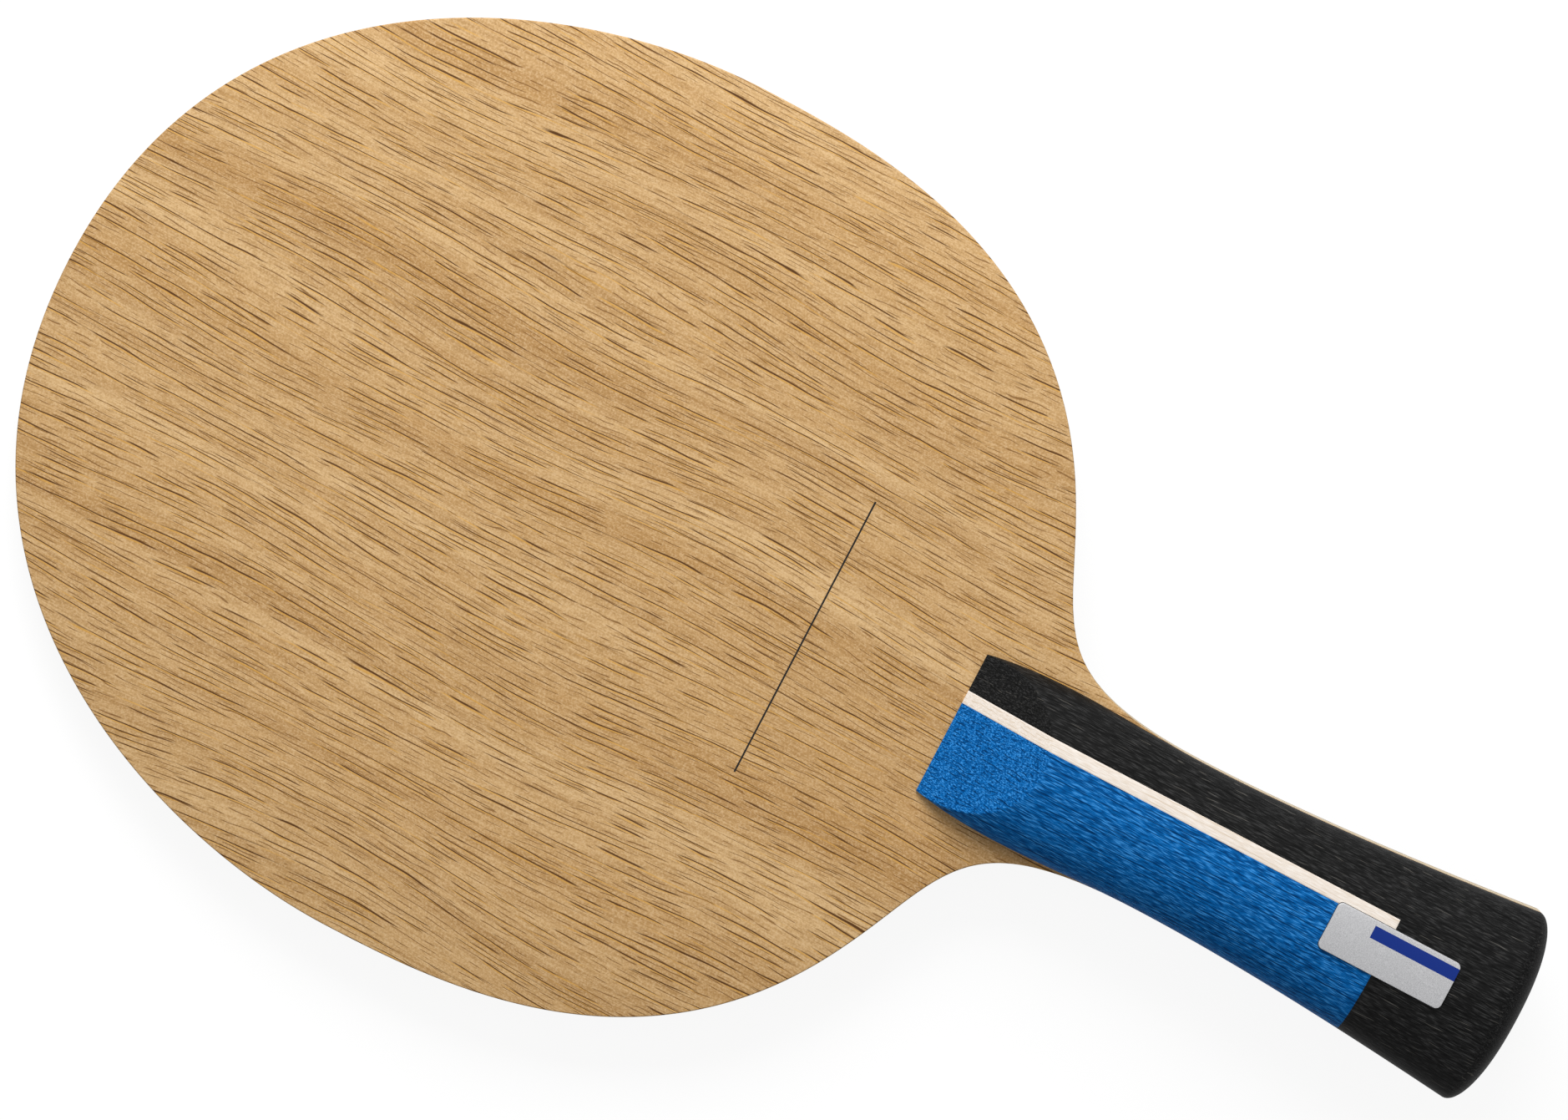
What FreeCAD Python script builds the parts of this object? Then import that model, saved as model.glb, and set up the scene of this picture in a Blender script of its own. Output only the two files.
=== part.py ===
"""A table tennis blade: seven glued plies, two handle scales of dyed wood, and a blank metal plate.

The frame: X runs across the blade, Y along the handle towards the tip of the head, and Z out of the
front face. The origin is the middle of the blade: half its length, half its width, half the core's
thickness. All sizes are in millimetres and degrees.
"""
import FreeCAD, Part
import os
import re

import Sketcher
from FreeCAD import Vector

doc = FreeCAD.newDocument("TableTennisBlade")

# ---------------------------------------------------------------------------------------------------
# Driving dimensions
# ---------------------------------------------------------------------------------------------------
# A "reach" is how far a curve runs along its own direction before it turns: the length of the
# handle of a cubic curve. "Behind" is measured from the handle's front edge towards the butt.

DIMENSIONS = {
    # The head's outline
    "head_length": 158.0,            # from the tip to the front edge of the handle
    "head_width": 150.0,             # across the widest place
    "widest_from_tip": 85.0,         # where the head is widest
    "tip_reach": 56.4,
    "side_reach_up": 31.4,
    "side_reach_down": 18.5,
    "shoulder_width": 84.5,          # across the blade at the front edge of the handle
    "shoulder_angle": 60.0,          # between the outline there and the handle's axis
    "shoulder_reach_down": 21.8,
    # The handle's outline, which the tang and the scales share
    "handle_length": 101.0,
    "waist_width": 25.6,             # across the narrowest place
    "waist_behind": 39.1,
    "neck_reach": 31.6,              # of the blade's outline, ahead of the waist
    "flare_width": 33.2,             # across the widest place, just ahead of the butt
    "flare_angle": 6.0,              # of each side there
    "flare_reach": 18.0,
    "butt_length": 4.5,              # the rounded end behind the widest place
    "butt_corner_reach": 2.3,
    "butt_crown_reach": 9.5,
    "butt_flat_width": 4.2,          # the flat in the middle of the crowned end
    # The plies, from the outside in
    "face_veneer": 0.6,
    "inner_veneer": 0.6,
    "fibre_ply": 0.2,
    "core_ply": 3.0,
    # The handle scales
    "scale_front_width": 24.4,       # across the scale at its front edge
    "scale_front_angle": 11.5,       # by which each side opens there
    "scale_front_reach": 13.0,
    "scale_waist_reach": 13.0,
    "scale_height": 8.5,             # above the blade, at the crest, from the front to the waist
    "flare_height": 9.5,             # above the blade, at the crest, at the widest place
    "slope_length": 16.3,            # of the sloped face at the front
    "lip_height": 0.5,               # of the scale at its front edge
    "side_roundness": 0.55,          # how far a cross-section climbs before it leans in
    "crest_roundness": 0.62,         # how far it runs level from the crest before it falls
    # How a scale is divided
    "butt_block_length": 24.4,
    "stripe_from_axis": 3.55,        # to the stripe's near side
    "stripe_width": 2.2,
    # The plate on the front scale
    "plate_from_butt": 12.5,
    "plate_length": 21.8,
    "plate_width": 8.2,
    "plate_corner": 0.95,
    "plate_thickness": 0.3,
    "film_thickness": 0.1,           # of the adhesive under it
}

sheet = doc.addObject("Spreadsheet::Sheet", "Dimensions")
for row, (alias, value) in enumerate(DIMENSIONS.items(), start=1):
    sheet.set(f"A{row}", alias.replace("_", " "))
    sheet.set(f"B{row}", str(value))
    sheet.setAlias(f"B{row}", alias)
doc.recompute()


def cells(text):
    """Turn each dimension's name in an expression into a reference to its cell."""
    return re.sub(rf"\b({'|'.join(DIMENSIONS)})\b", r"Dimensions.\1", text)


def size(text):
    """Work out an expression in the dimensions."""
    return float(sheet.evalExpression(cells(text)))


# Places along the blade
TIP = "(head_length + handle_length) / 2"
FRONT = "(handle_length - head_length) / 2"
BUTT = "-(head_length + handle_length) / 2"
WIDEST = f"{TIP} - widest_from_tip"
WAIST = f"{FRONT} - waist_behind"
FLARE = f"{BUTT} + butt_length"

# Heights above the middle of the core
CORE_TOP = "core_ply / 2"
FIBRE_TOP = f"{CORE_TOP} + fibre_ply"
INNER_TOP = f"{FIBRE_TOP} + inner_veneer"
FACE_TOP = f"{INNER_TOP} + face_veneer"


# ---------------------------------------------------------------------------------------------------
# Outlines
# ---------------------------------------------------------------------------------------------------
# A leg of an outline is a list of points, each a pair of expressions: one point is the end of a
# straight line, and three are the two handles and the end of a cubic curve.

def mirrored(start, legs):
    """The same legs on the other side of the axis, run backwards."""
    points = [start] + [point for leg in legs for point in leg]
    flipped = [(f"-({x})", y) for x, y in reversed(points)]
    lengths = [len(leg) for leg in reversed(legs)]
    result, at = [], 1
    for length in lengths:
        result.append(flipped[at:at + length])
        at += length
    return result


# The shoulder's curve turns about the corner where its own tangent meets the side of the head.
SHOULDER_CORNER = ("head_width / 2", f"{FRONT} + (head_width - shoulder_width) / 2 / tan(shoulder_angle)")

HEAD_SIDE = [
    [("tip_reach", TIP),
     ("head_width / 2", f"{WIDEST} + side_reach_up"),
     ("head_width / 2", WIDEST)],
    [("head_width / 2", f"{WIDEST} - side_reach_down"),
     SHOULDER_CORNER,
     ("shoulder_width / 2", FRONT)],
]
NECK_SIDE = [
    [("shoulder_width / 2 - shoulder_reach_down * sin(shoulder_angle)",
      f"{FRONT} - shoulder_reach_down * cos(shoulder_angle)"),
     ("waist_width / 2", f"{WAIST} + neck_reach"),
     ("waist_width / 2", WAIST)],
]
SCALE_SIDE = [
    [("scale_front_width / 2 + scale_front_reach * sin(scale_front_angle)",
      f"{FRONT} - scale_front_reach * cos(scale_front_angle)"),
     ("waist_width / 2", f"{WAIST} + scale_waist_reach"),
     ("waist_width / 2", WAIST)],
]
FLARE_SIDE = [
    [("waist_width / 2", f"{WAIST} - flare_reach"),
     ("flare_width / 2 - flare_reach * sin(flare_angle)", f"{FLARE} + flare_reach * cos(flare_angle)"),
     ("flare_width / 2", FLARE)],
    [("flare_width / 2 + butt_corner_reach * sin(flare_angle)",
      f"{FLARE} - butt_corner_reach * cos(flare_angle)"),
     ("butt_flat_width / 2 + butt_crown_reach", BUTT),
     ("butt_flat_width / 2", BUTT)],
]


def outline(start, side, across):
    """A closed outline: one side from its start, straight across, and the other side back."""
    last = side[-1][-1]
    legs = side + [[(f"-({last[0]})", last[1])]] + mirrored(start, side)
    return legs + ([[start]] if across else [])


POLE_OF_CURVE = "InternalAlignment:Sketcher::BSplineControlPoint"


def fix_point(sketch, geometry, end, point):
    """Hold one point of a sketch at a place given by expressions."""
    for kind, text in zip(("DistanceX", "DistanceY"), point):
        index = sketch.addConstraint(Sketcher.Constraint(kind, -1, 1, geometry, end, size(text)))
        sketch.setExpression(f"Constraints[{index}]", cells(text))


def draw(sketch, start, legs):
    """Draw a closed chain of lines and cubic curves, each point bound to the dimensions."""
    drawn = []
    here = start
    for leg in legs:
        points = [Vector(size(x), size(y), 0) for x, y in [here] + leg]
        if len(leg) == 1:
            curve = Part.LineSegment(*points)
        else:
            curve = Part.BSplineCurve()
            curve.buildFromPolesMultsKnots(points, [4, 4], [0.0, 1.0], False, 3)
        drawn.append(sketch.addGeometry(curve, False))
        here = leg[-1]
    fix_point(sketch, drawn[0], 1, start)
    for index, (curve, leg) in enumerate(zip(drawn, legs)):
        following = drawn[(index + 1) % len(drawn)]
        sketch.addConstraint(Sketcher.Constraint("Coincident", curve, 2, following, 1))
        if following != drawn[0]:
            fix_point(sketch, curve, 2, leg[-1])
        for pole, point in enumerate(leg[:-1], start=1):
            centre = Vector(size(point[0]), size(point[1]), 0)
            circle = sketch.addGeometry(Part.Circle(centre, Vector(0, 0, 1), 1.0), True)
            sketch.addConstraint(Sketcher.Constraint(POLE_OF_CURVE, circle, 3, curve, pole))
            sketch.addConstraint(Sketcher.Constraint("Weight", circle, 1.0))
            fix_point(sketch, circle, 3, point)


def padded(body, name, plane, start, legs, length, offset="0"):
    """Pad a sketch on one of the body's own planes, from an offset along the plane's normal."""
    sketch = body.newObject("Sketcher::SketchObject", f"{name}_sketch")
    origin = next(feature for feature in body.Origin.OriginFeatures if feature.Role == plane)
    sketch.AttachmentSupport = (origin, [""])
    sketch.MapMode = "FlatFace"
    sketch.setExpression("AttachmentOffset.Base.z", cells(offset))
    draw(sketch, start, legs)
    pad = body.newObject("PartDesign::Pad", name)
    pad.Profile = sketch
    pad.Refine = False
    pad.setExpression("Length", cells(length))
    return pad


# ---------------------------------------------------------------------------------------------------
# The plies
# ---------------------------------------------------------------------------------------------------
# All seven are sawn together after pressing, so they share one outline. Each is a head and a tang in
# one piece. The two meet along the handle's front edge, where the bare face of the head ends.

HEAD_START = ("0", TIP)
TANG_START = ("shoulder_width / 2", FRONT)


def ply(name, thickness, bottom):
    """One sheet of the blade, with its underside at a height above the middle of the core."""
    body = doc.addObject("PartDesign::Body", name)
    body.Label = name
    padded(body, f"{name}_head", "XY_Plane", HEAD_START, outline(HEAD_START, HEAD_SIDE, False), thickness)
    padded(body, f"{name}_tang", "XY_Plane", TANG_START, outline(TANG_START, NECK_SIDE + FLARE_SIDE, True),
           thickness)
    body.setExpression("Placement.Base.z", cells(bottom))
    return body


nodes = [
    ply("face_veneer_front", "face_veneer", INNER_TOP),
    ply("inner_veneer_front", "inner_veneer", FIBRE_TOP),
    ply("fibre_ply_front", "fibre_ply", CORE_TOP),
    ply("core_ply", "core_ply", f"-({CORE_TOP})"),
    ply("fibre_ply_back", "fibre_ply", f"-({FIBRE_TOP})"),
    ply("inner_veneer_back", "inner_veneer", f"-({INNER_TOP})"),
    ply("face_veneer_back", "face_veneer", f"-({FACE_TOP})"),
]


# ---------------------------------------------------------------------------------------------------
# The shaped scale
# ---------------------------------------------------------------------------------------------------
# The scales are glued on as plain blocks and shaped together with the tang, so a scale's foot
# follows the tang's outline. Every cross-section is one dome, stretched to the width and height that
# the handle has there: it stands square on the blade, leans in, and runs level over the crest.

def scale_lengths(raised):
    """The stretches of a scale, as four points each: half-width, place along the blade, height."""
    front = ("scale_front_width / 2", FRONT)
    crest = f"scale_height + {raised}"
    flare = f"flare_height + {raised}"
    tail = f"({flare}) * butt_flat_width / flare_width"
    crown = f"({flare}) * (butt_flat_width / 2 + butt_crown_reach) * 2 / flare_width"
    heights = [[crest, crest, crest, crest], [crest, crest, flare, flare], [flare, flare, crown, tail]]
    stretches = []
    here = front
    for leg, leg_heights in zip(SCALE_SIDE + FLARE_SIDE, heights):
        points = [here] + leg
        stretches.append([(size(x), size(y), size(high)) for (x, y), high in zip(points, leg_heights)])
        here = leg[-1]
    return stretches


def dome_surface(stretch, side, foot):
    """One side of the dome along one stretch: a surface of degree three both ways."""
    side_pull, crest_pull = size("side_roundness"), size("crest_roundness")
    section = [(1.0, 0.0), (1.0, side_pull), (crest_pull, 1.0), (0.0, 1.0)]
    poles = [[Vector(side * wide * half, along, foot + tall * high) for half, along, high in stretch]
             for wide, tall in section]
    surface = Part.BSplineSurface()
    surface.buildFromPolesMultsKnots(poles, [4, 4], [4, 4], [0.0, 1.0], [0.0, 1.0], False, False, 3, 3)
    return surface


def flat_face(edges):
    """The flat face inside a closed ring of edges."""
    return Part.Face(Part.Wire(Part.sortEdges(edges)[0]))


def shaped_scale(name, raised):
    """A whole front scale, with its skin raised by an amount at the crest."""
    foot = size(FACE_TOP)
    stretches = scale_lengths(raised)
    right = [dome_surface(stretch, 1, foot) for stretch in stretches]
    left = [dome_surface(stretch, -1, foot) for stretch in stretches]
    faces = [dome.toShape() for dome in right + left]
    foot_edges = [dome.uIso(0).toShape() for dome in right + left]
    for one, other, at in ((right[0], left[0], 0), (right[-1], left[-1], 1)):
        sill = Part.makeLine(one.value(0, at), other.value(0, at))
        faces.append(flat_face([one.vIso(at).toShape(), other.vIso(at).toShape(), sill]))
        foot_edges.append(sill)
    shell = Part.Shell(faces + [flat_face(foot_edges)])
    shell.sewShape()
    solid = Part.Solid(shell)
    if solid.Volume < 0:
        solid.reverse()
    scale = doc.addObject("Part::Feature", name)
    scale.Label = name
    scale.Shape = solid
    return scale


scale_blank = shaped_scale("scale_blank", "0")


# ---------------------------------------------------------------------------------------------------
# The blocks of each scale
# ---------------------------------------------------------------------------------------------------
# A scale is glued up from four blocks of dyed wood before it is shaped. The coloured block and the
# pale stripe end square on the butt block. The side strip runs the whole length of the handle.

SCALE_TOP = "(scale_height + flare_height)"      # clear of every crest
SLOPE_RISE = "(scale_height - lip_height)"
STRIPE_FAR = "(stripe_from_axis + stripe_width)"
SPLIT = f"{BUTT} + butt_block_length"


def block(name, x_from, x_to, y_back, y_front=None):
    """A sawn block seen from the side: square at the back, and sloped at the front edge."""
    body = doc.addObject("PartDesign::Body", f"{name}_block")
    top = f"{FACE_TOP} + {SCALE_TOP}"
    foot = (y_back, FACE_TOP)
    if y_front is None:
        slope_end = (f"{FRONT} - slope_length * ({SCALE_TOP} - lip_height) / {SLOPE_RISE}", top)
        legs = [[(FRONT, FACE_TOP)], [(FRONT, f"{FACE_TOP} + lip_height")], [slope_end]]
    else:
        legs = [[(y_front, FACE_TOP)], [(y_front, top)]]
    legs += [[(y_back, top)], [foot]]
    padded(body, f"{name}_side", "YZ_Plane", foot, legs, f"({x_to}) - ({x_from})", x_from)
    return body


def cut_from_scale(name, tool):
    """The part of the shaped scale that lies inside a block."""
    piece = doc.addObject("Part::Common", name)
    piece.Label = name
    piece.Base = scale_blank
    piece.Tool = tool
    return piece


OUTSIDE = "flare_width"
blocks = {
    "colour_block": (f"-{OUTSIDE}", "stripe_from_axis", SPLIT, None),
    "stripe": ("stripe_from_axis", STRIPE_FAR, SPLIT, None),
    "side_strip": (STRIPE_FAR, OUTSIDE, f"{BUTT} - butt_length", None),
    "butt_block": (f"-{OUTSIDE}", STRIPE_FAR, f"{BUTT} - butt_length", SPLIT),
}
for name, (x_from, x_to, y_back, y_front) in blocks.items():
    front_piece = cut_from_scale(f"{name}_front", block(name, x_from, x_to, y_back, y_front))
    back_piece = doc.addObject("Part::Mirroring", f"{name}_back")
    back_piece.Label = f"{name}_back"
    back_piece.Source = front_piece
    back_piece.Normal = Vector(0, 0, 1)
    nodes += [front_piece, back_piece]


# ---------------------------------------------------------------------------------------------------
# The plate and its adhesive
# ---------------------------------------------------------------------------------------------------
# A thin stamped metal plate, bent over the crest of the front scale and stuck down with a film.

def plate_cutter():
    """A prism with the plate's rounded outline, standing over the crest."""
    body = doc.addObject("PartDesign::Body", "plate_cutter")
    right = "plate_width / 2"
    left = "-plate_width / 2"
    astern = f"{BUTT} + plate_from_butt"
    ahead = f"{astern} + plate_length"
    legs = [[(left, astern)], [(left, ahead)], [(right, ahead)], [(right, astern)]]
    halfway_up = f"{FACE_TOP} + scale_height / 2"
    pad = padded(body, "plate_prism", "XY_Plane", (right, astern), legs, SCALE_TOP, halfway_up)
    doc.recompute()
    uprights = [f"Edge{index}" for index, edge in enumerate(pad.Shape.Edges, start=1)
                if abs(edge.tangentAt(edge.FirstParameter).z) > 0.99]
    rounded = body.newObject("PartDesign::Fillet", "plate_corners")
    rounded.Base = (pad, uprights)
    rounded.setExpression("Radius", cells("plate_corner"))
    body.Tip = rounded
    return body


def skin_over(name, outer, inner, cutter):
    """The layer between two raised scales, inside the plate's outline."""
    inside = doc.addObject("Part::Common", f"{name}_blank")
    inside.Base = outer
    inside.Tool = cutter
    layer = doc.addObject("Part::Cut", name)
    layer.Label = name
    layer.Base = inside
    layer.Tool = inner
    return layer


cutter = plate_cutter()
film_skin = shaped_scale("film_skin", "film_thickness")
plate_skin = shaped_scale("plate_skin", "film_thickness + plate_thickness")
nodes += [
    skin_over("plate_film", film_skin, scale_blank, cutter),
    skin_over("blank_plate", plate_skin, film_skin, cutter),
]


# ---------------------------------------------------------------------------------------------------
# Check and write
# ---------------------------------------------------------------------------------------------------

doc.recompute()
for item in doc.Objects:
    if "Invalid" in item.State or "Error" in item.State:
        raise RuntimeError(f"{item.Label} did not build")
for node in nodes:
    if node.Shape.isNull() or not node.Shape.isValid() or len(node.Shape.Solids) != 1:
        raise RuntimeError(f"{node.Label} is not one valid solid")

os.makedirs("parts", exist_ok=True)
for node in nodes:
    node.Shape.exportStep(f"parts/{node.Label}.step")
    print(f"{node.Label}: {node.Shape.Volume:.1f} cubic mm")
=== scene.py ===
import math

import bmesh
import bpy
import numpy as np
from mathutils import Matrix, Vector


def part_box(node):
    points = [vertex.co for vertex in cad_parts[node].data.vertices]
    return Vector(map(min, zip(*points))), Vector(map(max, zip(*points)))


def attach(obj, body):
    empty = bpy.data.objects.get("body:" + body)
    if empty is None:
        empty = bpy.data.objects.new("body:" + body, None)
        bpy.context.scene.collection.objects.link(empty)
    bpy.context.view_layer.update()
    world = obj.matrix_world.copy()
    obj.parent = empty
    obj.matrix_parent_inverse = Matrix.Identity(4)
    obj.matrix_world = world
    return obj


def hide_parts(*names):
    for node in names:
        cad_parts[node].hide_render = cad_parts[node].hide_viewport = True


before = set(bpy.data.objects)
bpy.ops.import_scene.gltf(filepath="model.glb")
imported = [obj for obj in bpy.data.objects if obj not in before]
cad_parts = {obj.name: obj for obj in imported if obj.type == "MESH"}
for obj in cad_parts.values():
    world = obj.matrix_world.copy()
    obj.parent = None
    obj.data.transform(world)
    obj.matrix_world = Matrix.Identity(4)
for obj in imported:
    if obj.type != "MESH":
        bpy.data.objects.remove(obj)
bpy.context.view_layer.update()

MM = 0.001

# ---- The pressed blank -----------------------------------------------------------------------------
# A light core with a woven fibre ply and an inner veneer on each side of it, glued under heat in a
# press and sawn to shape together. Only their edges show, as thin lines between the two faces.


def linear(hex_colour):
    """An sRGB colour such as '#c1a070' as linear red, green, blue and an alpha of one."""
    channels = [int(hex_colour[place:place + 2], 16) / 255 for place in (1, 3, 5)]
    return [c / 12.92 if c <= 0.04045 else ((c + 0.055) / 1.055) ** 2.4 for c in channels] + [1.0]


def add(tree, kind, inputs=None, output=0, **settings):
    """Add a node, set it up and give one of its outputs. An input is a value or another node's output."""
    node = tree.nodes.new("ShaderNode" + kind)
    for name, value in settings.items():
        setattr(node, name, value)
    for name, value in (inputs or {}).items():
        if isinstance(value, bpy.types.NodeSocket):
            tree.links.new(value, node.inputs[name])
        else:
            node.inputs[name].default_value = value
    return node.outputs[output] if node.outputs else node


def new_finish(name):
    """An empty material, and the tree of nodes to fill."""
    material = bpy.data.materials.new(name)
    material.use_nodes = True
    material.node_tree.nodes.clear()
    return material, material.node_tree


def blots(tree, place, across, along, seed, detail=0.0, crosswise=False):
    """Noise drawn out along the fibres: blots `across` mm wide and deep and `along` mm long."""
    lengths = (along, across, across) if crosswise else (across, along, across)
    counts = [1 / (length * MM) for length in lengths]
    counted = add(tree, "VectorMath", {0: place, 1: counts, 2: (seed, seed / 3, seed / 7)},
                  operation="MULTIPLY_ADD")
    return add(tree, "TexNoise", {"Vector": counted, "Scale": 1.0, "Detail": detail}, "Fac")


def layered(tree, ground, layers):
    """Lay colours over a ground in turn. Each grows to its share as its pattern goes from low to high."""
    colour = linear(ground)
    for pattern, low, high, share, tone in layers:
        cover = add(tree, "MapRange", {"Value": pattern, "From Min": low, "From Max": high,
                                       "To Max": share})
        colour = add(tree, "Mix", {"Factor": cover, 6: colour, 7: linear(tone)}, 2, data_type="RGBA")
    return colour


def surface(tree, colour, relief, depth, **shading):
    """The skin of a piece: its colour, its relief with a depth in mm, and the shader's own values."""
    normal = add(tree, "Bump", {"Height": relief, "Distance": depth * MM, "Strength": 1.0})
    inputs = {"Base Color": colour, "Normal": normal}
    inputs.update({name.replace("_", " "): value for name, value in shading.items()})
    shader = add(tree, "BsdfPrincipled", inputs)
    add(tree, "OutputMaterial", {"Surface": shader})


def sawn_wood(name, light, dark, fibre, length, crosswise=False):
    """Plain sawn wood: two close colours in streaks, with finer fibres raised in them."""
    material, tree = new_finish(name)
    place = add(tree, "TexCoord", output="Object")
    streaks = blots(tree, place, fibre * 4, length, 2.0, 2.0, crosswise)
    fibres = blots(tree, place, fibre, length / 5, 5.0, 1.0, crosswise)
    colour = layered(tree, light, [(streaks, 0.3, 0.7, 0.6, dark), (fibres, 0.35, 0.7, 0.5, dark)])
    surface(tree, colour, fibres, 0.02, Roughness=0.75, Specular_IOR_Level=0.15)
    return material


# Paulownia, very light and soft: pale straw with broad open rings.
CORE_WOOD = sawn_wood("paulownia_core", "#efe3cb", "#dccaa8", 0.5, 30.0)
# Rotary-cut poplar laid across the blade, a little redder than the core.
INNER_WOOD = sawn_wood("poplar_inner_veneer", "#e6d3b4", "#cfb48c", 0.3, 15.0, crosswise=True)


def fibre_sheet(name, dark_yarn, pale_yarn, yarn):
    """Yarn set in resin or foam and cut through: dark, with the ends of paler yarns in it."""
    material, tree = new_finish(name)
    ends = blots(tree, add(tree, "TexCoord", output="Object"), yarn, yarn, 1.0, 1.0)
    colour = layered(tree, dark_yarn, [(ends, 0.52, 0.6, 1.0, pale_yarn)])
    surface(tree, colour, ends, 0.02, Roughness=0.5, Specular_IOR_Level=0.3)
    return material


# Carbon and aramid yarn in epoxy, in bundles about 1 mm wide.
FIBRE_WEAVE = fibre_sheet("carbon_aramid_weave", "#3a332b", "#8d7640", 1.0)


def finish_node(node, material):
    """Give a piece that keeps its own shape a material."""
    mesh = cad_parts[node].data
    mesh.materials.clear()
    mesh.materials.append(material)


finish_node("core_ply", CORE_WOOD)
for side in ("front", "back"):
    finish_node(f"fibre_ply_{side}", FIBRE_WEAVE)
    finish_node(f"inner_veneer_{side}", INNER_WOOD)


# ---- The face veneers ------------------------------------------------------------------------------
# Sliced limba, 0.6 mm thick, with its grain along the handle: golden tan, with darker bands and short
# brown pores. It is sanded fine and left bare for the rubber, and its outer corner is eased by hand.


def corners(node):
    """A CAD piece's lowest and highest corners, in millimetres."""
    low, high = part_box(node)
    return np.array(low) / MM, np.array(high) / MM


face_low, face_high = corners("face_veneer_front")
TIP, BUTT, HEAD_HALF = face_high[1], face_low[1], face_high[0]
FRONT = corners("side_strip_front")[1][1]  # the handle's front edge
FACE = face_high[2]                  # the height of the bare face
WIDEST = TIP - 85.0                  # where the head is widest
WAIST = FRONT - 39.1                 # the handle's narrowest place
FLARE = BUTT + 4.5                   # its widest place, just ahead of the butt
SHOULDER_HALF, WAIST_HALF, FLARE_HALF, BUTT_FLAT_HALF = 42.25, 12.8, 16.6, 2.1
SHOULDER_TURN = math.radians(60.0)   # between the outline and the handle's axis, at the front edge
FLARE_TURN = math.radians(6.0)       # of each side at the flare
# A reach is how far a curve runs along its own direction before it turns.
TIP_REACH, SIDE_REACH_UP, SIDE_REACH_DOWN = 56.4, 31.4, 18.5
SHOULDER_REACH, NECK_REACH, FLARE_REACH = 21.8, 31.6, 18.0
BUTT_CORNER_REACH, BUTT_CROWN_REACH = 2.3, 9.5

HEAD_LEGS = [
    [(0, TIP), (TIP_REACH, TIP), (HEAD_HALF, WIDEST + SIDE_REACH_UP), (HEAD_HALF, WIDEST)],
    [(HEAD_HALF, WIDEST), (HEAD_HALF, WIDEST - SIDE_REACH_DOWN),
     (HEAD_HALF, FRONT + (HEAD_HALF - SHOULDER_HALF) / math.tan(SHOULDER_TURN)), (SHOULDER_HALF, FRONT)],
    [(SHOULDER_HALF, FRONT),
     (SHOULDER_HALF - SHOULDER_REACH * math.sin(SHOULDER_TURN),
      FRONT - SHOULDER_REACH * math.cos(SHOULDER_TURN)),
     (WAIST_HALF, WAIST + NECK_REACH), (WAIST_HALF, WAIST)],
]
HANDLE_LEGS = [
    [(WAIST_HALF, WAIST), (WAIST_HALF, WAIST - FLARE_REACH),
     (FLARE_HALF - FLARE_REACH * math.sin(FLARE_TURN), FLARE + FLARE_REACH * math.cos(FLARE_TURN)),
     (FLARE_HALF, FLARE)],
    [(FLARE_HALF, FLARE),
     (FLARE_HALF + BUTT_CORNER_REACH * math.sin(FLARE_TURN),
      FLARE - BUTT_CORNER_REACH * math.cos(FLARE_TURN)),
     (BUTT_FLAT_HALF + BUTT_CROWN_REACH, BUTT), (BUTT_FLAT_HALF, BUTT)],
]


def bezier(points, t):
    """A cubic curve: four points weighted by (1-t)^3, 3t(1-t)^2, 3t^2(1-t) and t^3."""
    t = np.asarray(t)[..., None]
    a, b, c, d = (np.asarray(point, float) for point in points)
    return (1 - t) ** 3 * a + 3 * t * (1 - t) ** 2 * b + 3 * t ** 2 * (1 - t) * c + t ** 3 * d


def right_side(legs, counts):
    """Points down the right side through several curves, and the outward normal at each."""
    parts = [bezier(leg, np.linspace(0, 1, count + 1)[(1 if index else 0):])
             for index, (leg, count) in enumerate(zip(legs, counts))]
    points = np.concatenate(parts)
    along = np.gradient(points, axis=0)
    outward = np.stack([-along[:, 1], along[:, 0]], axis=1)
    return points, outward / np.linalg.norm(outward, axis=1)[:, None]


def border(grid):
    """The closed loop of points round the edge of a grid."""
    return np.concatenate([grid[0], grid[1:-1, -1], grid[-1, ::-1], grid[-2:0:-1, 0], grid[:1, 0]])


SHARP = math.radians(35.0)           # faces that meet at more than this show a sharp edge


def make_piece(name, grids, material, replaced):
    """Join grids of points, in millimetres, into one closed mesh with its faces pointing outwards."""
    points, faces, start = [], [], 0
    for grid in grids:
        rows, columns = grid.shape[:2]
        index = start + np.arange(rows * columns).reshape(rows, columns)
        squares = [index[:-1, :-1], index[:-1, 1:], index[1:, 1:], index[1:, :-1]]
        faces.append(np.stack(squares, axis=-1).reshape(-1, 4))
        points.append(grid.reshape(-1, 3))
        start += rows * columns
    mesh = bpy.data.meshes.new(name)
    mesh.from_pydata((np.concatenate(points) * MM).tolist(), [], np.concatenate(faces).tolist())
    work = bmesh.new()
    work.from_mesh(mesh)
    bmesh.ops.remove_doubles(work, verts=work.verts, dist=0.002 * MM)
    bmesh.ops.dissolve_degenerate(work, edges=work.edges, dist=0.001 * MM)
    bmesh.ops.recalc_face_normals(work, faces=work.faces)
    work.to_mesh(mesh)
    work.free()
    mesh.polygons.foreach_set("use_smooth", np.ones(len(mesh.polygons), bool))
    mesh.set_sharp_from_angle(angle=SHARP)
    mesh.materials.append(material)
    piece = bpy.data.objects.new(name, mesh)
    bpy.context.scene.collection.objects.link(piece)
    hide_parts(replaced)
    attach(piece, "root")
    return piece


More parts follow.
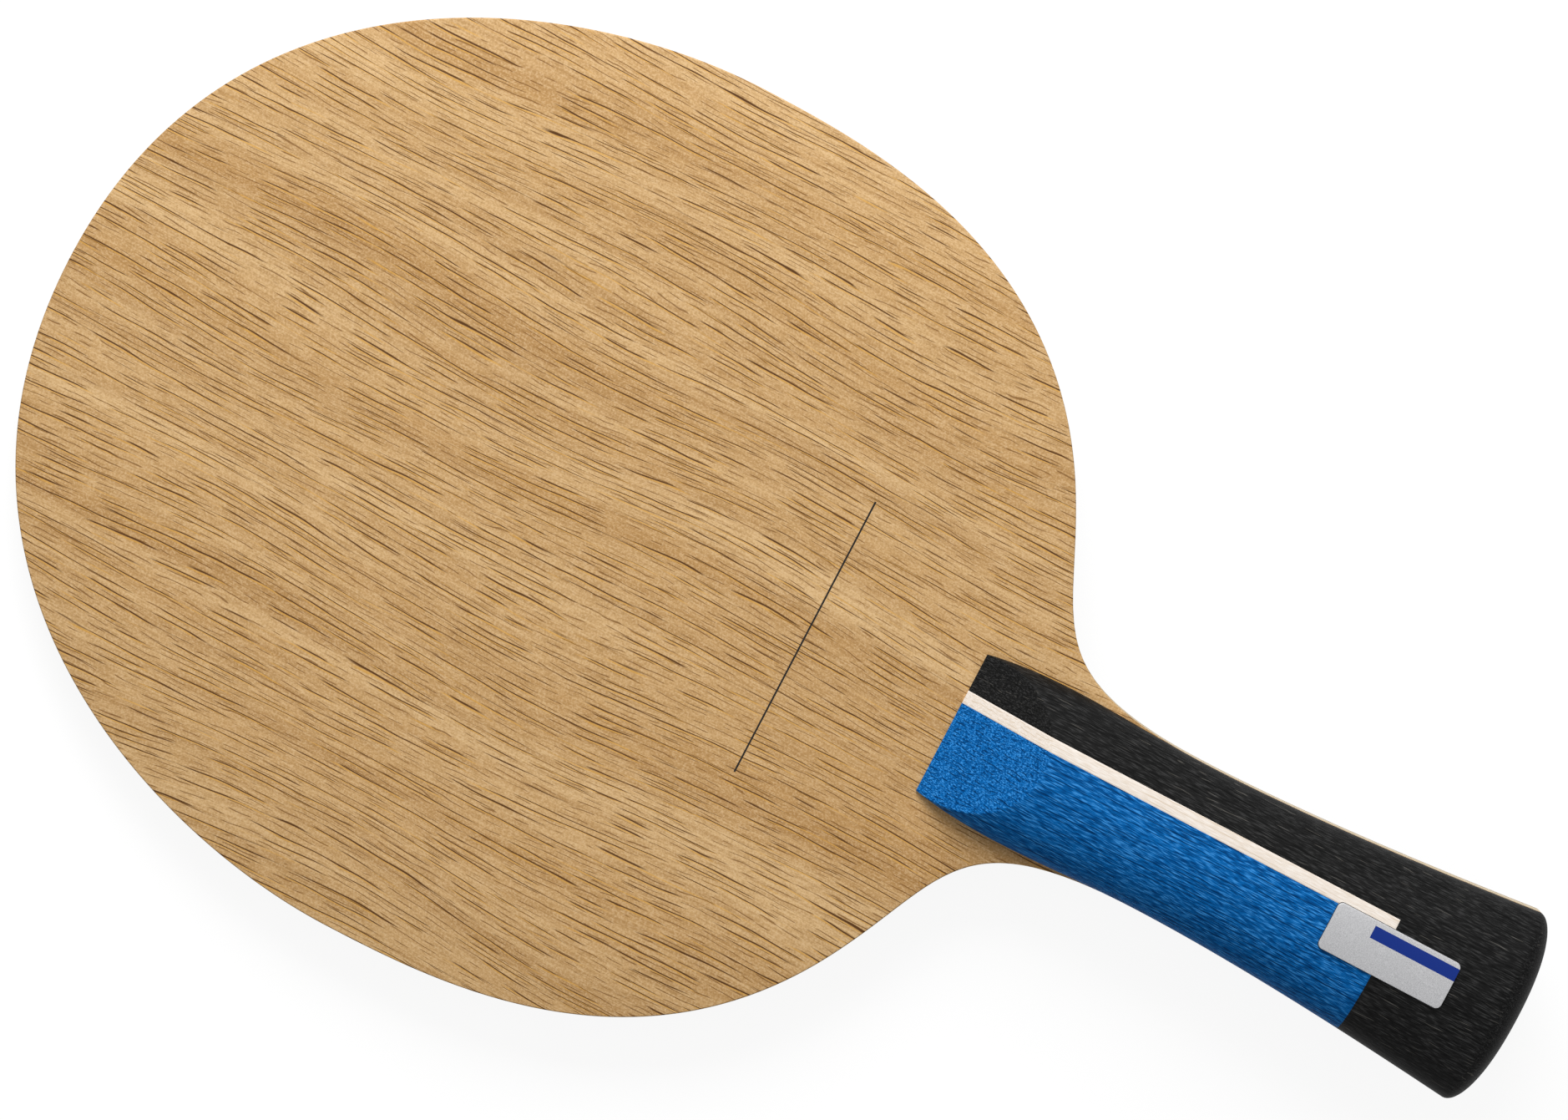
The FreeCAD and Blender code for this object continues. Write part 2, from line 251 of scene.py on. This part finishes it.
def slab(side, normals, profile, columns, ground):
    """A sheet between the right side and its mirror image.

    Each step of the profile is how far in from the outline it lies and how high above the ground.
    The first step is the rim of the upper face, and the last is the rim of the lower one.
    """
    share = np.linspace(-1, 1, columns)
    grids = []
    for inset, height in profile:
        rim = side - np.asarray(inset)[..., None] * normals
        x = rim[:, :1] * share
        y = np.repeat(rim[:, 1:], columns, axis=1)
        grids.append(np.stack([x, y, ground(x, y) + height], axis=-1))
    return [grids[0], grids[-1], np.stack([border(grid) for grid in grids])]


PORE_WANDER, PORE_WRIGGLE = 2.4, 0.35  # how far slow and quick noise push a pore line, in spacings


def pore_lines(tree, place, spacing, width, dash, seed, shift=0.0, scarce=0.0):
    """Pores cut lengthwise: thin wandering lines along the fibres, broken into dashes, all in mm.

    The lines are where x, pushed about by noise, is a whole number of spacings, and a second noise
    as long as the dashes says where they show. They can be shifted sideways or made scarce.
    """
    x = add(tree, "SeparateXYZ", {0: place})
    wander = blots(tree, place, spacing * 4, dash * 5, seed, 1.0)
    wriggle = blots(tree, place, spacing, dash * 0.6, seed + 3)
    small = add(tree, "Math", {0: wriggle, 1: PORE_WRIGGLE}, operation="MULTIPLY")
    pushed = add(tree, "Math", {0: wander, 1: PORE_WANDER, 2: small}, operation="MULTIPLY_ADD")
    lines = add(tree, "Math", {0: x, 1: 1 / (spacing * MM), 2: pushed}, operation="MULTIPLY_ADD")
    moved = add(tree, "Math", {0: lines, 1: shift / spacing}, operation="ADD")
    away = add(tree, "Math", {0: moved, 1: 0.5}, operation="PINGPONG")
    near = add(tree, "MapRange", {"Value": away, "From Max": width / spacing, "To Min": 1.0, "To Max": 0.0})
    shown = add(tree, "MapRange", {"Value": blots(tree, place, spacing * 0.8, dash, seed + 7),
                                   "From Min": 0.46 + scarce, "From Max": 0.56 + scarce})
    return add(tree, "Math", {0: near, 1: shown}, operation="MULTIPLY")


def limba(name, seed, printed_line=None):
    """Sliced limba, sanded: bands over a tan ground, fine fibres, pores, and a painted golden glint beside
    them.

    Real pores are about 0.15 mm wide. They are drawn a little wider so that they show.
    """
    material, tree = new_finish(name)
    place = add(tree, "TexCoord", output="Object")
    drift = add(tree, "MapRange", {"Value": blots(tree, place, 25.0, 60.0, seed),
                                   "To Min": -3.0 * MM, "To Max": 3.0 * MM})
    sideways = add(tree, "CombineXYZ", {"X": drift})
    run = add(tree, "VectorMath", {0: place, 1: sideways})

    bands = blots(tree, run, 7.0, 220.0, seed + 11, 3.0)
    stains = blots(tree, run, 2.6, 110.0, seed + 17, 1.0)
    streaks = blots(tree, run, 0.6, 26.0, seed + 23, 1.0)
    fibres = blots(tree, run, 0.20, 5.0, seed + 31, 1.0)
    dust = blots(tree, run, 0.24, 0.32, seed + 37, 1.0)
    long_pores = pore_lines(tree, run, 1.15, 0.13, 12.0, seed + 41)
    short_pores = pore_lines(tree, run, 0.85, 0.10, 4.0, seed + 53, scarce=0.02)
    # Painted highlight: a golden glint line just beside each long pore, put into the colour.
    painted_glint = pore_lines(tree, run, 1.15, 0.15, 12.0, seed + 41, shift=0.18)
    colour = layered(tree, "#dfb984", [
        (bands, 0.38, 0.66, 0.90, "#c1955d"),
        (stains, 0.48, 0.72, 0.50, "#ab7e48"),
        (streaks, 0.48, 0.72, 0.45, "#a67a44"),
        (fibres, 0.45, 0.70, 0.32, "#9c7039"),
        (fibres, 0.45, 0.25, 0.40, "#e8c797"),
        (dust, 0.50, 0.70, 0.40, "#ebcb9e"),
        (dust, 0.50, 0.28, 0.34, "#9a7440"),
        (painted_glint, 0.10, 0.90, 0.70, "#dca442"),
        (short_pores, 0.05, 0.60, 0.75, "#7c501c"),
        (long_pores, 0.05, 0.60, 1.00, "#57340e"),
    ])
    if printed_line:
        across = add(tree, "SeparateXYZ", {0: place})
        along = add(tree, "SeparateXYZ", {0: place}, "Y")
        within = [add(tree, "Math", {0: value, 1: middle * MM, 2: half * MM}, operation="COMPARE")
                  for value, (middle, half) in zip((across, along), printed_line)]
        ink = add(tree, "Math", {0: within[0], 1: within[1]}, operation="MULTIPLY")
        colour = add(tree, "Mix", {"Factor": ink, 6: colour, 7: linear("#1c1a18")}, 2, data_type="RGBA")
    pores = add(tree, "Math", {0: long_pores, 1: short_pores}, operation="MAXIMUM")
    relief = add(tree, "Math", {0: fibres, 1: 0.3, 2: 1.0}, operation="MULTIPLY_ADD")
    relief = add(tree, "Math", {0: relief, 1: pores}, operation="SUBTRACT")
    surface(tree, colour, relief, 0.03, Roughness=0.6, Specular_IOR_Level=0.2)
    return material


def flat(x, y):
    """Level ground."""
    return np.zeros_like(x)


blade_side, blade_normals = right_side(HEAD_LEGS + HANDLE_LEGS, (90, 90, 60, 40, 30))
EASED = 0.25                         # radius of the eased corner
EASED_TO, EASED_FADE = FRONT - 24.0, 6.0  # where it has faded to nothing, and over what length
veneer = face_high[2] - face_low[2]
# Under the scales the corner stays square, because the tang is sanded flush with them.
eased = EASED * np.clip((blade_side[:, 1] - EASED_TO) / EASED_FADE, 0, 1)
turn = np.radians(np.linspace(90, 0, 6))
# A plain line printed across the front: its middle and half its length, its place and half its width.
PRINTED_LINE = ((1.2, 24.2), (FRONT + 26.9, 0.15))
# Each face has its own run of grain.
FACES = {"front": (0.0, PRINTED_LINE), "back": (60.0,)}
for side, level in (("front", 1), ("back", -1)):
    profile = [(eased * (1 - math.cos(a)), level * (FACE - EASED * (1 - math.sin(a)))) for a in turn]
    profile.append((0 * eased, level * (FACE - veneer)))
    make_piece(f"veneer_{side}", slab(blade_side, blade_normals, profile, 9, flat),
               limba(f"limba_{side}", *FACES[side]), f"face_veneer_{side}")


# ---- The handle scales -----------------------------------------------------------------------------
# Each scale is glued up from four blocks of dyed poplar and shaped as one with the tang: blue, a pale
# stripe, a black side strip and a black butt. They are sanded, with a hairline at each glue joint.

stripe_low, stripe_high = corners("stripe_front")
SPLIT = corners("colour_block_front")[0][1]  # where the blue and the stripe end on the butt block
STRIPE_NEAR, STRIPE_FAR = stripe_low[0], stripe_high[0]
SCALE_FRONT_HALF = 12.2
SCALE_OPENS = math.radians(11.5)
SCALE_REACH = 13.0                   # of the curve from the front edge to the waist, at both ends
SCALE_HEIGHT, FLARE_HEIGHT = 8.5, 9.5
SLOPE_LENGTH, LIP = 16.3, 0.5
SIDE_PULL, CREST_PULL = 0.55, 0.62   # how square the dome stands and how level its crest runs
EASED_CREASE = 0.14                  # how softly the front slope meets the dome
SEAM_DEPTH, SEAM_WIDTH = 0.05, 0.10  # the hairline at a glue joint

SCALE_LEGS = [
    [(SCALE_FRONT_HALF, FRONT),
     (SCALE_FRONT_HALF + SCALE_REACH * math.sin(SCALE_OPENS), FRONT - SCALE_REACH * math.cos(SCALE_OPENS)),
     (WAIST_HALF, WAIST + SCALE_REACH), (WAIST_HALF, WAIST)],
] + HANDLE_LEGS
crown_height = FLARE_HEIGHT * (BUTT_FLAT_HALF + BUTT_CROWN_REACH) / FLARE_HALF
tail_height = FLARE_HEIGHT * BUTT_FLAT_HALF / FLARE_HALF
LEG_HEIGHTS = [
    [SCALE_HEIGHT] * 4,
    [SCALE_HEIGHT, SCALE_HEIGHT, FLARE_HEIGHT, FLARE_HEIGHT],
    [FLARE_HEIGHT, FLARE_HEIGHT, crown_height, tail_height],
]
DOME_T = np.linspace(0, 1, 801)
DOME = bezier([(1, 0), (1, SIDE_PULL), (CREST_PULL, 1), (0, 1)], DOME_T)


def handle_at(station):
    """Half-width, place and crest height at stations from 0, the front edge, to 3, the butt."""
    station = np.asarray(station, float)
    leg = np.minimum(station.astype(int), 2)
    shares = station - leg
    results = np.zeros(station.shape + (3,))
    for number, (points, heights) in enumerate(zip(SCALE_LEGS, LEG_HEIGHTS)):
        here = leg == number
        full = [(x, y, z) for (x, y), z in zip(points, heights)]
        results[here] = bezier(full, shares[here])
    return results[..., 0], results[..., 1], results[..., 2]


STATIONS = np.linspace(0, 3, 6001)
STATION_HALF, STATION_Y, STATION_CREST = handle_at(STATIONS)


def station_at(y):
    """The station at a place along the handle."""
    return np.interp(-np.asarray(y), -STATION_Y, STATIONS)


def girth_at(ratio):
    """How far round the dome, from 0 at the crest to 1 at the foot, a share of the half-width lies."""
    return np.sign(ratio) * (1 - np.interp(np.abs(ratio), DOME[::-1, 0], DOME_T[::-1]))


def bunched(low, high, count):
    """Values from low to high, closer together towards both ends, along the last axis."""
    share = (1 - np.cos(np.pi * np.linspace(0, 1, count))) / 2
    return low[..., None] + (high - low)[..., None] * share


def scale_block(x_from, x_to, stations, joint_y=None):
    """The skin of one block: rows along the handle, and columns round its dome, in millimetres.

    The skin is the lower of the dome and the front slope, with the crease between them eased.
    Columns bunch up at the crease and at the block's glued sides.
    """
    half, y, height = handle_at(stations)
    slope = LIP + (FRONT - y) * (SCALE_HEIGHT - LIP) / SLOPE_LENGTH
    crease = 1 - np.interp(np.clip(slope / height, 0, 1), DOME[:, 1], DOME_T)
    low = girth_at(np.full_like(y, x_from) / half)
    high = girth_at(np.full_like(y, x_to) / half)
    stops = [low, np.clip(-crease, low, high), np.clip(crease, low, high), high]
    girth = np.concatenate([bunched(stops[0], stops[1], 22), bunched(stops[1], stops[2], 22)[:, 1:],
                            bunched(stops[2], stops[3], 22)[:, 1:]], axis=1)
    t = 1 - np.abs(girth)
    x = np.sign(girth) * half[:, None] * np.interp(t, DOME_T, DOME[:, 0])
    dome = height[:, None] * np.interp(t, DOME_T, DOME[:, 1])
    gap = dome - slope[:, None]
    z = (dome + slope[:, None] - np.sqrt(gap ** 2 + EASED_CREASE ** 2)) / 2
    for joint in (x_from, x_to):
        z -= SEAM_DEPTH * np.exp(-((x - joint) / SEAM_WIDTH) ** 2)
    if joint_y is not None:
        z -= SEAM_DEPTH * np.exp(-((y[:, None] - joint_y) / SEAM_WIDTH) ** 2)
    return np.stack([x, np.broadcast_to(y[:, None], x.shape), np.maximum(z, 0)], axis=-1)


def closed_block(skin, level):
    """A block's skin with its sides and foot, standing on the front face or hanging from the back."""
    foot = skin * (1, 1, 0)
    grids = [skin, foot, np.stack([border(skin), border(foot)])]
    return [grid * (1, 1, level) + (0, 0, level * FACE) for grid in grids]


def dyed_wood(name, ground, deep, glint, pore, specular, fleck=None):
    """Dyed poplar, sanded: fine streaks along the handle, with pores that took more of the dye.

    The streaks run through the wood, so the front slope cuts them short and looks grainy. Real
    fibres are finer than 0.1 mm. They are drawn wider so that they show.
    """
    material, tree = new_finish(name)
    place = add(tree, "TexCoord", output="Object")
    fibres = blots(tree, place, 0.16, 1.7, 9.0, 1.0)
    layers = [
        (blots(tree, place, 0.6, 30.0, 3.0, 2.0), 0.42, 0.66, 0.40, deep),
        (fibres, 0.50, 0.66, 0.95, deep),
        (fibres, 0.47, 0.32, 1.00, glint),
        (pore_lines(tree, place, 0.62, 0.11, 9.0, 17.0), 0.05, 0.70, 0.90, pore),
    ]
    if fleck:
        layers.append((pore_lines(tree, place, 0.7, 0.08, 4.0, 29.0, scarce=0.16), 0.2, 1.0, 0.4, fleck))
    surface(tree, layered(tree, ground, layers), fibres, 0.04, Roughness=0.55, Specular_IOR_Level=specular)
    return material


BLUE_WOOD = dyed_wood("blue_dyed_poplar", "#0a69b5", "#033f79", "#3f95df", "#012c58", 0.04)
PALE_WOOD = dyed_wood("white_poplar", "#f0e5da", "#e7dacb", "#f6eee5", "#d9c8b3", 0.1)
BLACK_WOOD = dyed_wood("black_dyed_poplar", "#1d1d1d", "#101010", "#363636", "#080808", 0.05,
                       fleck="#8a867f")

crest_row = FRONT - SLOPE_LENGTH
slope_rows = bunched(np.array(FRONT), np.array(crest_row), 70)
to_split = station_at(np.concatenate([slope_rows, bunched(np.array(crest_row), np.array(SPLIT), 80)[1:]]))
to_flare = station_at(np.concatenate([slope_rows, np.linspace(crest_row, FLARE, 90)[1:]]))
strip_ends = np.interp(-STRIPE_FAR, -STATION_HALF[STATIONS >= 2], STATIONS[STATIONS >= 2])
to_strip_end = np.concatenate([to_flare, np.linspace(2.0, strip_ends, 40)[1:]])
past_split = np.concatenate([station_at(bunched(np.array(SPLIT), np.array(FLARE), 50)),
                             np.linspace(2, 3, 60)[1:]])
OUTSIDE = 2 * FLARE_HALF             # clear of the widest place

BLOCKS = [
    ("colour_block", "blue_dyed_wood", BLUE_WOOD, -OUTSIDE, STRIPE_NEAR, to_split, SPLIT),
    ("stripe", "pale_wood", PALE_WOOD, STRIPE_NEAR, STRIPE_FAR, to_split, SPLIT),
    ("side_strip", "black_dyed_wood", BLACK_WOOD, STRIPE_FAR, OUTSIDE, to_strip_end, None),
    ("butt_block", "black_dyed_wood", BLACK_WOOD, -OUTSIDE, STRIPE_FAR, past_split, SPLIT),
]
for block, slot, material, x_from, x_to, stations, joint_y in BLOCKS:
    skin = scale_block(x_from, x_to, stations, joint_y)
    for side, level in (("front", 1), ("back", -1)):
        make_piece(f"scale_{block}_{side}", closed_block(skin, level), material, f"{block}_{side}")


# ---- The plate -------------------------------------------------------------------------------------
# A stamped aluminium plate, 0.3 mm thick with rounded corners, bent over the crest and stuck down with
# a dark foam film. It is satin silver, with one printed blue band and no words.

plate_low, plate_high = corners("blank_plate")
PLATE_HALF = plate_high[0]
PLATE_CORNER = 0.95
FILM, PLATE = 0.1, 0.3               # how thick the film and the plate are
PLATE_EDGE = 0.08                    # radius of the stamped edge


def crest_over(x, y):
    """The height of the shaped scale, above the middle of the blade, at places on it."""
    station = station_at(y)
    half = np.interp(station, STATIONS, STATION_HALF)
    height = np.interp(station, STATIONS, STATION_CREST)
    t = 1 - np.abs(girth_at(x / half))
    return FACE + height * np.interp(t, DOME_T, DOME[:, 1])


def rounded_side(half, top, bottom, corner):
    """Points down the right side of a rounded rectangle, and the outward normals."""
    angles = np.radians(np.linspace(90, 0, 13))
    arc = np.stack([np.cos(angles), np.sin(angles)], axis=1)
    upper = (half - corner, top - corner) + corner * arc
    lower = (half - corner, bottom + corner) + corner * arc[::-1] * (1, -1)
    rows = np.linspace(top - corner, bottom + corner, 30)[1:-1]
    straight = np.stack([np.full_like(rows, half), rows], axis=1)
    normals = np.concatenate([arc, np.tile((1.0, 0.0), (len(rows), 1)), arc[::-1] * (1, -1)])
    return np.concatenate([upper, straight, lower]), normals


def plate_metal(name, band_left, band_right, band_top):
    """Satin anodised aluminium: an even fine grit, and a band of blue ink printed on it."""
    material, tree = new_finish(name)
    place = add(tree, "TexCoord", output="Object")
    x = add(tree, "SeparateXYZ", {0: place})
    y = add(tree, "SeparateXYZ", {0: place}, "Y")
    middle, half = (band_left + band_right) / 2, (band_right - band_left) / 2
    across = add(tree, "Math", {0: x, 1: middle * MM, 2: half * MM}, operation="COMPARE")
    behind = add(tree, "Math", {0: y, 1: band_top * MM}, operation="LESS_THAN")
    band = add(tree, "Math", {0: across, 1: behind}, operation="MULTIPLY")
    grit = blots(tree, place, 0.15, 0.15, 1.0, 1.0)
    silver = layered(tree, "#c6c6c8", [(grit, 0.3, 0.7, 1.0, "#aaaaac")])
    colour = add(tree, "Mix", {"Factor": band, 6: silver, 7: linear("#0a2c80")}, 2, data_type="RGBA")
    metallic = add(tree, "MapRange", {"Value": band, "To Min": 0.5, "To Max": 0.0})
    surface(tree, colour, grit, 0.004, Metallic=metallic, Roughness=0.45, Specular_IOR_Level=0.2)
    return material


BAND_LEFT, BAND_RIGHT = 1.1, 3.2     # the printed band's sides
BAND_BEHIND = 6.8                    # how far behind the plate's front end it starts
# Partly painted shade: the plate is drawn smaller than the film, so the dark film shows as a thin rim that
# stands in for the shade along the plate's edge.
FILM_RIM_AS_SHADE = 0.07                    # how far the dark film stands out round the plate
plate_side, plate_normals = rounded_side(PLATE_HALF - FILM_RIM_AS_SHADE, plate_high[1] - FILM_RIM_AS_SHADE,
                                         plate_low[1] + FILM_RIM_AS_SHADE, PLATE_CORNER)
top = FILM + PLATE
rim = [(PLATE_EDGE * (1 - math.cos(a)), top - PLATE_EDGE * (1 - math.sin(a)))
       for a in np.radians(np.linspace(90, 0, 5))]
make_piece("plate", slab(plate_side, plate_normals, rim + [(0.0, FILM)], 25, crest_over),
           plate_metal("satin_aluminium", BAND_LEFT, BAND_RIGHT, plate_high[1] - BAND_BEHIND),
           "blank_plate")
# The foam film is real, and it is drawn near black so that its rim round the plate also serves as a painted
# shade line.
finish_node("plate_film", fibre_sheet("dark_foam_film", "#151515", "#242424", 0.3))


# ---- The studio ------------------------------------------------------------------------------------
# The blade lies on its back scale, on a pale table, touching it with the front of that scale's crest and
# with the tip of the head. A large soft lamp stands beyond the dark side, and the room fills the rest.

crest_low = FACE + SCALE_HEIGHT
table_tilt = math.atan2(crest_low - FACE, TIP - crest_row)
table_mesh = bpy.data.meshes.new("table")
TABLE_HALF = 1500.0                  # half the table's width and length
TABLE_CLEARANCE = 0.05               # so that the blade lies on the table and not in it
TABLE_GLOW, ROOM_LIGHT = 0.90, 0.34  # of white: what the table shows, and what the room sheds


def table_height(y):
    """The height of the table top, in millimetres, at a place along the blade."""
    return -FACE - (TIP - y) * math.tan(table_tilt) - TABLE_CLEARANCE


table_corners = [(-TABLE_HALF, -TABLE_HALF), (TABLE_HALF, -TABLE_HALF),
                 (TABLE_HALF, TABLE_HALF), (-TABLE_HALF, TABLE_HALF)]
table_points = [(x * MM, y * MM, table_height(y) * MM) for x, y in table_corners]
table_mesh.from_pydata(table_points, [], [(0, 1, 2, 3)])
table = bpy.data.objects.new("table", table_mesh)
bpy.context.scene.collection.objects.link(table)


def background_share(tree):
    """One for a ray that looks, straight, by reflection or through glass, and nought for a ray of light."""
    looks = [add(tree, "LightPath", output=f"Is {kind} Ray")
             for kind in ("Camera", "Glossy", "Transmission")]
    either = add(tree, "Math", {0: looks[0], 1: looks[1]}, operation="MAXIMUM")
    return add(tree, "Math", {0: either, 1: looks[2]}, operation="MAXIMUM")


# The table is white to the eye, but throws little light back up, so that the shadow on it is faint.
table_material, tree = new_finish("white_table")
glow = add(tree, "MapRange", {"Value": background_share(tree), "To Max": TABLE_GLOW})
matte = add(tree, "BsdfDiffuse", {"Color": linear("#696969")})
lit = add(tree, "Emission", {"Color": (1, 1, 1, 1), "Strength": glow})
add(tree, "OutputMaterial", {"Surface": add(tree, "AddShader", {0: matte, 1: lit})})
table_mesh.materials.append(table_material)

world = bpy.data.worlds.new("room")
bpy.context.scene.world = world
world.use_nodes = True
world.node_tree.nodes.clear()
tree = world.node_tree
room = add(tree, "MapRange", {"Value": background_share(tree), "To Min": ROOM_LIGHT, "To Max": 1.0})
add(tree, "OutputWorld", {"Surface": add(tree, "Background", {"Color": (1, 1, 1, 1), "Strength": room})})


def soft_lamp(name, place, target, width, power):
    """A square soft box at a place, in metres, turned to a target."""
    data = bpy.data.lights.new(name, "AREA")
    data.shape = "SQUARE"
    data.size = width
    data.energy = power
    lamp = bpy.data.objects.new(name, data)
    lamp.location = place
    towards = np.array(target) - np.array(place)
    lamp.rotation_euler = Vector(towards).to_track_quat("-Z", "Y").to_euler()
    bpy.context.scene.collection.objects.link(lamp)


soft_lamp("key", place=(0.58, 0.27, 0.52), target=(0.0, 0.0, 0.0), width=0.5, power=7.2)

# The camera hangs over the dark side of the handle, a metre up, with the blade lying across the
# frame: the tip to the upper left and the butt to the lower right.
CAMERA_HEIGHT = 1000.0
LEAN, AHEAD = 54.5, 6.4              # how far it hangs to the dark side and ahead of what it looks at
LOOKED_AT = (10.5, 7.0, FACE)
FRAME_WIDTH = 248.5                  # what it takes in at the face, in mm
SENSOR_WIDTH = 36.0
AXIS_TURN = math.radians(27.61)      # the handle points down and right by this

camera_data = bpy.data.cameras.new("camera")
camera = bpy.data.objects.new("camera", camera_data)
bpy.context.scene.collection.objects.link(camera)
look_at = Vector(LOOKED_AT)
camera_place = look_at + Vector((LEAN, AHEAD, CAMERA_HEIGHT))
backwards = (camera_place - look_at).normalized()
across_blade = Vector((0.0, 1.0, 0.0)).cross(backwards).normalized()
along_blade = backwards.cross(across_blade)
right = across_blade * math.sin(AXIS_TURN) - along_blade * math.cos(AXIS_TURN)
up = backwards.cross(right)
turned = Matrix((right, up, backwards)).transposed().to_4x4()
turned.translation = camera_place * MM
camera.matrix_world = turned
camera_data.sensor_width = SENSOR_WIDTH
camera_data.lens = SENSOR_WIDTH * (camera_place - look_at).length / FRAME_WIDTH
camera_data.clip_start = 0.05
bpy.context.scene.camera = camera
bpy.context.scene.view_settings.view_transform = "Standard"
